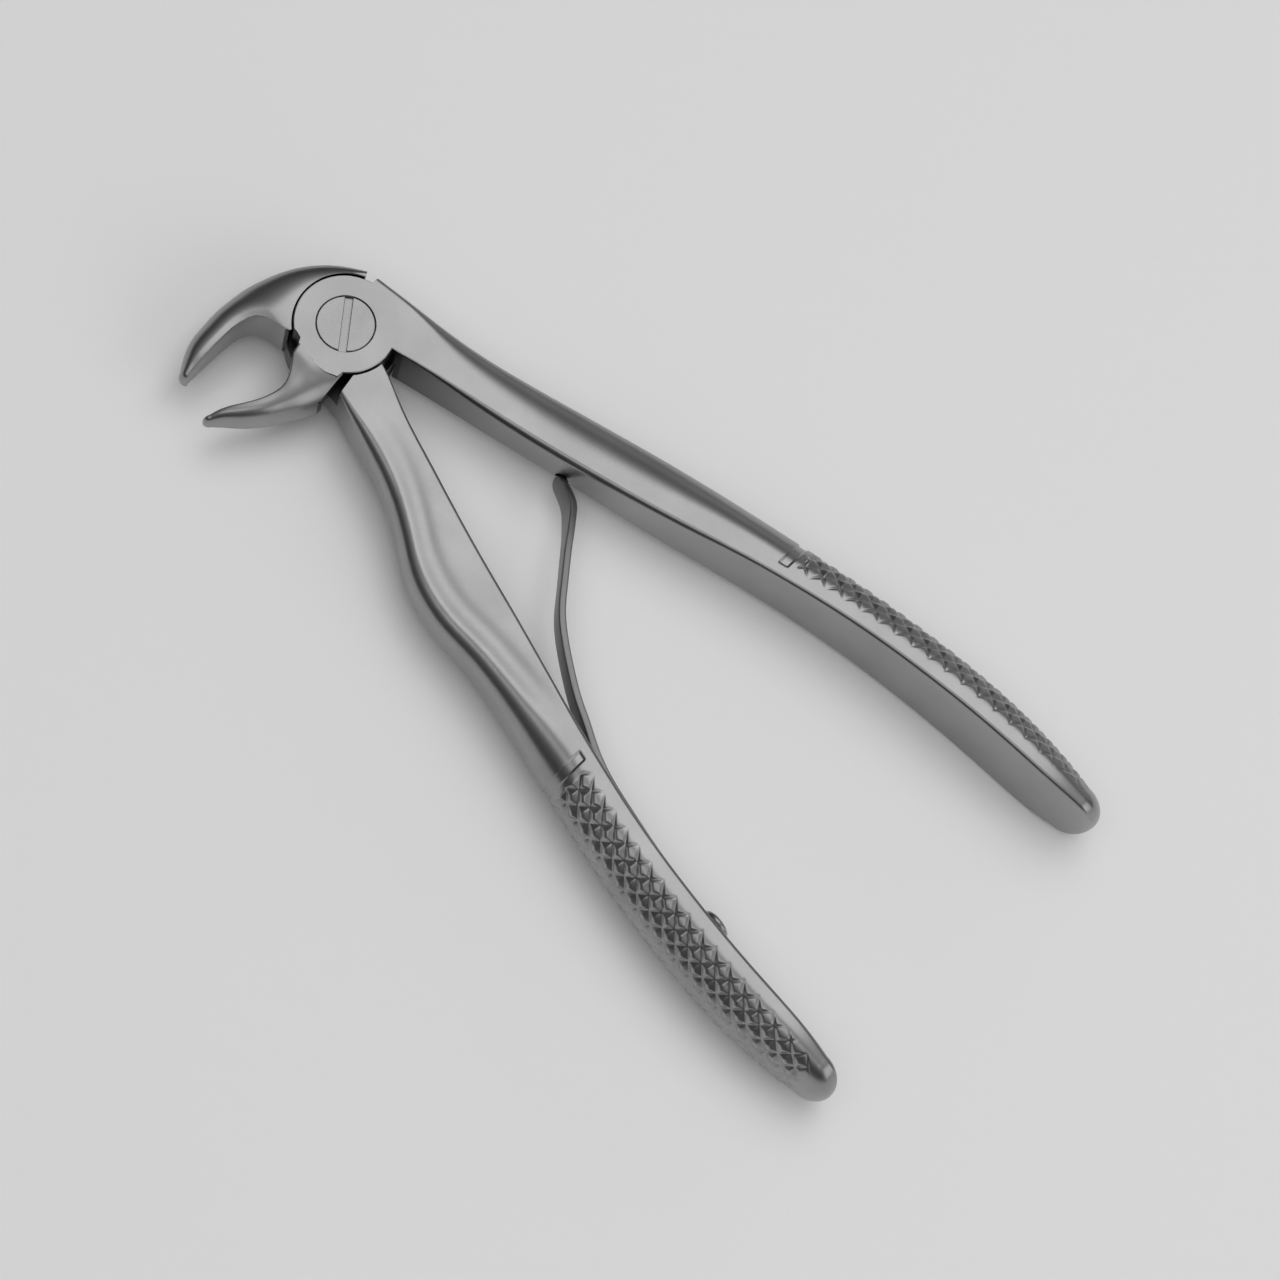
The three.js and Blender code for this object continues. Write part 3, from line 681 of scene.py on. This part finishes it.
def steel(name, colour, roughness, grain, bump):
    """Satin steel: broad clouds vary its tone, and a fine grain its gloss and its surface. A face attribute
    mixes in painted shade, near black.
    """
    material = bpy.data.materials.new(name)
    material.use_nodes = True
    nodes, links = material.node_tree.nodes, material.node_tree.links
    shader = nodes["Principled BSDF"]
    shader.inputs["Metallic"].default_value = 1.0
    where = nodes.new("ShaderNodeTexCoord")
    fine = noise(nodes, grain, 4)
    broad = noise(nodes, grain / 18, 2)
    tone = nodes.new("ShaderNodeValToRGB")
    for stop, position, scale in zip(tone.color_ramp.elements, (0.3, 0.7), (0.93, 1.05)):
        stop.position = position
        stop.color = (*(c * scale for c in colour), 1)
    gloss = nodes.new("ShaderNodeMapRange")
    gloss.inputs["To Min"].default_value = roughness - 0.04
    gloss.inputs["To Max"].default_value = roughness + 0.05
    # Painted shade: the face attribute mixes the steel's tone toward near black.
    painted_shade = nodes.new("ShaderNodeAttribute")
    painted_shade.attribute_name = PAINTED_SHADE_LAYER
    shaded, unshaded, result = colour_mix(nodes, PAINTED_SHADE_COLOUR)
    relief = nodes.new("ShaderNodeBump")
    relief.inputs["Strength"].default_value = bump
    relief.inputs["Distance"].default_value = 0.02 * MM
    links.new(where.outputs["Object"], fine.inputs["Vector"])
    links.new(where.outputs["Object"], broad.inputs["Vector"])
    links.new(broad.outputs["Fac"], tone.inputs["Fac"])
    links.new(painted_shade.outputs["Fac"], shaded.inputs["Factor"])
    links.new(tone.outputs["Color"], unshaded)
    links.new(result, shader.inputs["Base Color"])
    links.new(fine.outputs["Fac"], gloss.inputs["Value"])
    links.new(gloss.outputs["Result"], shader.inputs["Roughness"])
    links.new(fine.outputs["Fac"], relief.inputs["Height"])
    links.new(relief.outputs["Normal"], shader.inputs["Normal"])
    return material


def matte(name, colour):
    material = bpy.data.materials.new(name)
    material.use_nodes = True
    shader = material.node_tree.nodes["Principled BSDF"]
    shader.inputs["Base Color"].default_value = (*colour, 1)
    shader.inputs["Roughness"].default_value = 0.7
    return material


# ---------- the pieces ----------

forged = steel("satin_forged_steel", (0.34, 0.34, 0.344), 0.3, 2600, 0.2)
screw = steel("ground_screw_steel", (0.31, 0.31, 0.314), 0.28, 3200, 0.12)
spring = steel("tempered_spring_steel", (0.32, 0.32, 0.324), 0.5, 2600, 0.25)


def add(obj, material, node, body=None):
    finish_surface(obj)
    mark_painted_shade(obj)
    obj.data.materials.clear()
    obj.data.materials.append(material)
    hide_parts(node)
    if body:
        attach(obj, body)
    return obj


add(lever_a(), forged, "lever_front_disc", A)
add(lever_b(), forged, "lever_back_disc", B)
add(pivot_screw(), screw, "pivot_screw", B)
add(fixing_screw(), screw, "spring_fixing_screw", B)
leaf = add(leaf_spring(), spring, "return_spring")
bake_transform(leaf)

# ---------- floor, light and camera ----------

FLOOR_GAP = 0.02 * MM
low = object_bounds()[0]
bpy.ops.mesh.primitive_plane_add(size=12, location=(0.05, 0, low.z - FLOOR_GAP))
floor = bpy.context.object
floor.name = "floor"
floor.data.materials.append(matte("pale_floor", (0.9, 0.9, 0.9)))


def panel(name, at, size, power, target=(0.05, -0.01, 0)):
    """A soft rectangular light at a place, facing the target."""
    data = bpy.data.lights.new(name, "AREA")
    data.shape = "RECTANGLE"
    data.size, data.size_y = size
    data.energy = power
    light = bpy.data.objects.new(name, data)
    light.location = at
    aim = Vector(target) - Vector(at)
    light.rotation_euler = aim.to_track_quat("-Z", "Y").to_euler()
    bpy.context.collection.objects.link(light)
    return light


panel("overhead", (-0.04, 0.31, 0.9), (0.7, 0.6), 1.62)
panel("front", (0.05, -0.42, 0.9), (0.7, 0.3), 0.6)
panel("side", (0.95, 0.05, 0.5), (1.0, 0.8), 2.6)
panel("back", (0.1, 0.95, 0.32), (1.2, 0.4), 0.5)
fill = panel("floor_fill", (0.05, 0.0, 2.4), (2.0, 2.0), 14.0)
fill.visible_glossy = False  # lights the floor and leaves no mark of its own in the steel


def studio_world(stops, backdrop):
    """Soft light from all round that grows brighter with height, in front of a plain pale backdrop."""
    world = bpy.data.worlds.new("studio")
    world.use_nodes = True
    nodes, links = world.node_tree.nodes, world.node_tree.links
    where = nodes.new("ShaderNodeTexCoord")
    split = nodes.new("ShaderNodeSeparateXYZ")
    by_height = nodes.new("ShaderNodeValToRGB")
    marks = by_height.color_ramp.elements
    marks[0].position, marks[1].position = stops[0][0], stops[-1][0]
    for height, _ in stops[1:-1]:
        marks.new(height)
    for mark, (_, value) in zip(marks, stops):
        mark.color = (value, value, value, 1)
    seen = nodes.new("ShaderNodeLightPath")
    mix, light, result = colour_mix(nodes, (*backdrop, 1))
    links.new(where.outputs["Generated"], split.inputs["Vector"])
    links.new(split.outputs["Z"], by_height.inputs["Fac"])
    links.new(seen.outputs["Is Camera Ray"], mix.inputs["Factor"])
    links.new(by_height.outputs["Color"], light)
    links.new(result, nodes["Background"].inputs["Color"])
    return world


# Brightness by the height of the direction, from the horizon and below (0) to straight up (1).
GLOW = [(0.0, 0.06), (0.35, 0.07), (0.65, 0.16), (0.8, 0.3), (0.95, 0.4), (1.0, 0.42)]
bpy.context.scene.world = studio_world(GLOW, backdrop=(0.85, 0.86, 0.87))
bpy.context.scene.view_settings.view_transform = "Standard"

AIM = Vector((0.05709, -0.00208, 0.0092))
DISTANCE = 0.4622
AZIMUTH, ELEVATION, ROLL = math.radians(16.01), math.radians(71.19), math.radians(29.9)
LENS, SENSOR = 100, 36


def photo_camera():
    level = math.cos(ELEVATION)
    back = Vector((math.sin(AZIMUTH) * level, -math.cos(AZIMUTH) * level, math.sin(ELEVATION)))
    data = bpy.data.cameras.new("camera")
    data.lens, data.sensor_width = LENS, SENSOR
    data.clip_start, data.clip_end = 0.01, 20
    camera = bpy.data.objects.new("camera", data)
    turn = back.to_track_quat("Z", "Y").to_matrix().to_4x4() @ Matrix.Rotation(ROLL, 4, "Z")
    camera.matrix_world = Matrix.Translation(AIM + back * DISTANCE) @ turn
    bpy.context.collection.objects.link(camera)
    bpy.context.scene.camera = camera


photo_camera()
